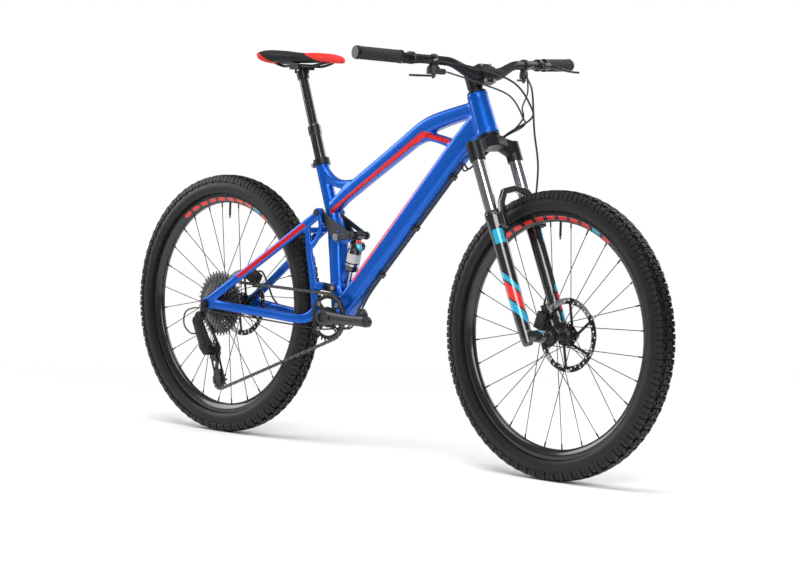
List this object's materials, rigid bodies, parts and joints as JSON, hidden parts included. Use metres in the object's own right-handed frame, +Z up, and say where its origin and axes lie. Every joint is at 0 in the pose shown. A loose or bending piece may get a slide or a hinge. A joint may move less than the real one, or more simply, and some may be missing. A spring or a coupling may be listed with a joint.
{
  "type": "mountain bike",
  "caption": "Full-suspension mountain bike: dual-link rear end with air shock, air fork, dropper post, hydraulic disc brakes and single-ring drivetrain, without pedals.",
  "frame": {"origin": "on the floor under the middle of the wheelbase", "axes": "+X forward along the bike, +Y to the rider's left, +Z up"},
  "size_m": [1.898, 0.7722, 1.0338],
  "materials": {
    "frame_blue": "gloss pearl paint",
    "black_metal": "black anodised",
    "gloss_black": "gloss black paint",
    "polished": "polished",
    "steel": "bright steel",
    "dark_alloy": "gunmetal anodised",
    "tyre": "matt",
    "rubber": "matt",
    "hose": "satin jacket",
    "plastic": "matt",
    "cover": "synthetic cover"
  },
  "bodies": {
    "frame": {"front_frame": "frame_blue", "bearing_cups": "black_metal", "seat_clamp": "black_metal", "frame_bolts": "steel", "dropper_outer": "gloss_black", "hose_clips": "plastic", "frame_hoses": "hose"},
    "steering": {"crown_steerer": "gloss_black", "stanchions": "polished", "headset_spacers": "black_metal", "stem": "black_metal", "stem_faceplate": "black_metal", "stem_bolts": "steel", "handlebar": "black_metal", "grips": "rubber", "grip_rings": "black_metal", "brake_bodies": "black_metal", "shifter_body": "black_metal", "remote_body": "black_metal", "steering_hoses": "hose"},
    "brake_lever_right": {"brake_lever_right": "black_metal"},
    "brake_lever_left": {"brake_lever_left": "black_metal"},
    "shift_paddle": {"shift_paddle": "black_metal"},
    "remote_lever": {"remote_lever": "steel"},
    "fork_lowers": {"fork_lowers": "gloss_black", "front_caliper": "black_metal", "front_axle": "black_metal", "front_brake_hose": "hose"},
    "front_wheel": {"front_tyre": "tyre", "front_rim": "black_metal", "front_spokes": "black_metal", "front_hub": "black_metal", "front_rotor": "steel"},
    "rear_wheel": {"rear_tyre": "tyre", "rear_rim": "black_metal", "rear_spokes": "black_metal", "rear_hub": "black_metal", "rear_rotor": "steel"},
    "cassette": {"cassette": "steel"},
    "rear_triangle": {"rear_triangle": "frame_blue", "rear_axle": "black_metal", "rear_caliper": "black_metal", "derailleur_body": "black_metal"},
    "derailleur_cage": {"derailleur_cage": "black_metal"},
    "pulley_guide": {"pulley_guide": "plastic"},
    "pulley_tension": {"pulley_tension": "plastic"},
    "upper_link": {"upper_link": "dark_alloy", "link_bolts": "steel"},
    "lower_link": {"lower_link": "dark_alloy"},
    "shock_can": {"shock_can": "black_metal"},
    "shock_shaft": {"shock_shaft": "polished"},
    "crankset": {"crank_right": "black_metal", "crank_left": "black_metal", "chainring": "black_metal"},
    "chain": {"chain": "steel"},
    "rear_hoses": {"rear_hoses": "hose"},
    "seatpost": {"dropper_upper": "black_metal", "seat_head": "black_metal", "saddle_rails": "black_metal", "saddle": "cover"}
  },
  "joints": [
    {"name": "steering", "type": "hinge", "parent": "frame", "child": "steering", "pos_m": [0.35503, 0, 0.81862], "axis": [-0.3907, 0, 0.9205], "range_deg": [-70, 70], "deforming": ["steering_hoses"]},
    {"name": "fork_travel", "type": "slide", "parent": "steering", "child": "fork_lowers", "axis": [-0.3907, 0, 0.9205], "range_m": [0, 0.13], "stiffness_N_per_m": 4000, "springref_m": -0.03, "deforming": ["front_brake_hose"]},
    {"name": "front_wheel_spin", "type": "hinge", "parent": "fork_lowers", "child": "front_wheel", "pos_m": [0.6, 0, 0.349], "axis": [0, 1, 0], "continuous": true},
    {"name": "rear_suspension", "type": "hinge", "parent": "frame", "child": "upper_link", "pos_m": [-0.145, 0, 0.55], "axis": [0, 1, 0], "range_deg": [0, 36], "stiffness_Nm_per_rad": 180, "springref_deg": -14.32, "deforming": ["rear_hoses", "chain"]},
    {"name": "rear_triangle_swing", "type": "hinge", "parent": "upper_link", "child": "rear_triangle", "pos_m": [-0.208, 0, 0.611], "axis": [0, 1, 0], "range_deg": [-26.28, 0.5]},
    {"name": "lower_link_swing", "type": "hinge", "parent": "frame", "child": "lower_link", "pos_m": [-0.155, 0, 0.417], "axis": [0, 1, 0], "range_deg": [-0.5, 47.3]},
    {"name": "shock_swing", "type": "hinge", "parent": "frame", "child": "shock_shaft", "pos_m": [-0.135, 0, 0.394], "axis": [0, 1, 0], "range_deg": [-0.5, 2]},
    {"name": "shock_stroke", "type": "slide", "parent": "shock_shaft", "child": "shock_can", "axis": [0.2284, 0, 0.9736], "range_m": [-0.032, 0.0005]},
    {"name": "rear_wheel_spin", "type": "hinge", "parent": "rear_triangle", "child": "rear_wheel", "pos_m": [-0.6, 0, 0.349], "axis": [0, 1, 0], "continuous": true},
    {"name": "chain_swing", "type": "hinge", "parent": "frame", "child": "chain", "pos_m": [-0.0422, 0, 0.35604], "axis": [0, 1, 0], "range_deg": [-0.5, 10.72]},
    {"name": "rear_hose_swing", "type": "hinge", "parent": "frame", "child": "rear_hoses", "pos_m": [-0.0422, 0, 0.35604], "axis": [0, 1, 0], "range_deg": [-0.5, 10.72]},
    {"name": "crank_spin", "type": "hinge", "parent": "frame", "child": "crankset", "pos_m": [-0.148, 0, 0.343], "axis": [0, 1, 0], "continuous": true, "deforming": ["chain"]},
    {"name": "cassette_spin", "type": "hinge", "parent": "rear_triangle", "child": "cassette", "pos_m": [-0.6, -0.04, 0.349], "axis": [0, 1, 0], "continuous": true},
    {"name": "derailleur_tension", "type": "hinge", "parent": "rear_triangle", "child": "derailleur_cage", "pos_m": [-0.613, -0.0348, 0.221], "axis": [0, 1, 0], "range_deg": [-10, 30], "stiffness_Nm_per_rad": 0.8, "deforming": ["chain"]},
    {"name": "guide_pulley_spin", "type": "hinge", "parent": "derailleur_cage", "child": "pulley_guide", "pos_m": [-0.613, -0.0348, 0.221], "axis": [0, 1, 0], "continuous": true},
    {"name": "tension_pulley_spin", "type": "hinge", "parent": "derailleur_cage", "child": "pulley_tension", "pos_m": [-0.582, -0.0348, 0.143], "axis": [0, 1, 0], "continuous": true},
    {"name": "dropper_travel", "type": "slide", "parent": "frame", "child": "seatpost", "axis": [-0.342, 0, 0.9397], "range_m": [-0.125, 0]},
    {"name": "brake_right", "type": "hinge", "parent": "steering", "child": "brake_lever_right", "pos_m": [0.35265, -0.19398, 1.0006], "axis": [0, 0, -1], "range_deg": [0, 18], "stiffness_Nm_per_rad": 2, "springref_deg": -2.86},
    {"name": "brake_left", "type": "hinge", "parent": "steering", "child": "brake_lever_left", "pos_m": [0.35265, 0.19398, 1.0006], "axis": [0, 0, 1], "range_deg": [0, 18], "stiffness_Nm_per_rad": 2, "springref_deg": -2.86},
    {"name": "shift_push", "type": "hinge", "parent": "steering", "child": "shift_paddle", "pos_m": [0.31573, -0.16167, 0.97426], "axis": [0, 0, -1], "range_deg": [0, 25], "stiffness_Nm_per_rad": 1, "springref_deg": -2.86},
    {"name": "remote_push", "type": "hinge", "parent": "steering", "child": "remote_lever", "pos_m": [0.31573, 0.16167, 0.97426], "axis": [0, 0, 1], "range_deg": [0, 25], "stiffness_Nm_per_rad": 1, "springref_deg": -2.86}
  ],
  "couplings": [
    {"joint": "rear_triangle_swing", "follows": "rear_suspension", "ratio": -0.716},
    {"joint": "lower_link_swing", "follows": "rear_suspension", "ratio": 1.3},
    {"joint": "chain_swing", "follows": "rear_suspension", "ratio": 0.284},
    {"joint": "rear_hose_swing", "follows": "rear_suspension", "ratio": 0.284},
    {"joint": "shock_swing", "follows": "rear_suspension", "ratio": 0.032},
    {"joint": "shock_stroke", "follows": "rear_suspension", "m_per_rad": -0.047746},
    {"joint": "cassette_spin", "follows": "crank_spin", "ratio": 0.9375},
    {"joint": "guide_pulley_spin", "follows": "crank_spin", "ratio": -2.5},
    {"joint": "tension_pulley_spin", "follows": "crank_spin", "ratio": 2.5}
  ]
}
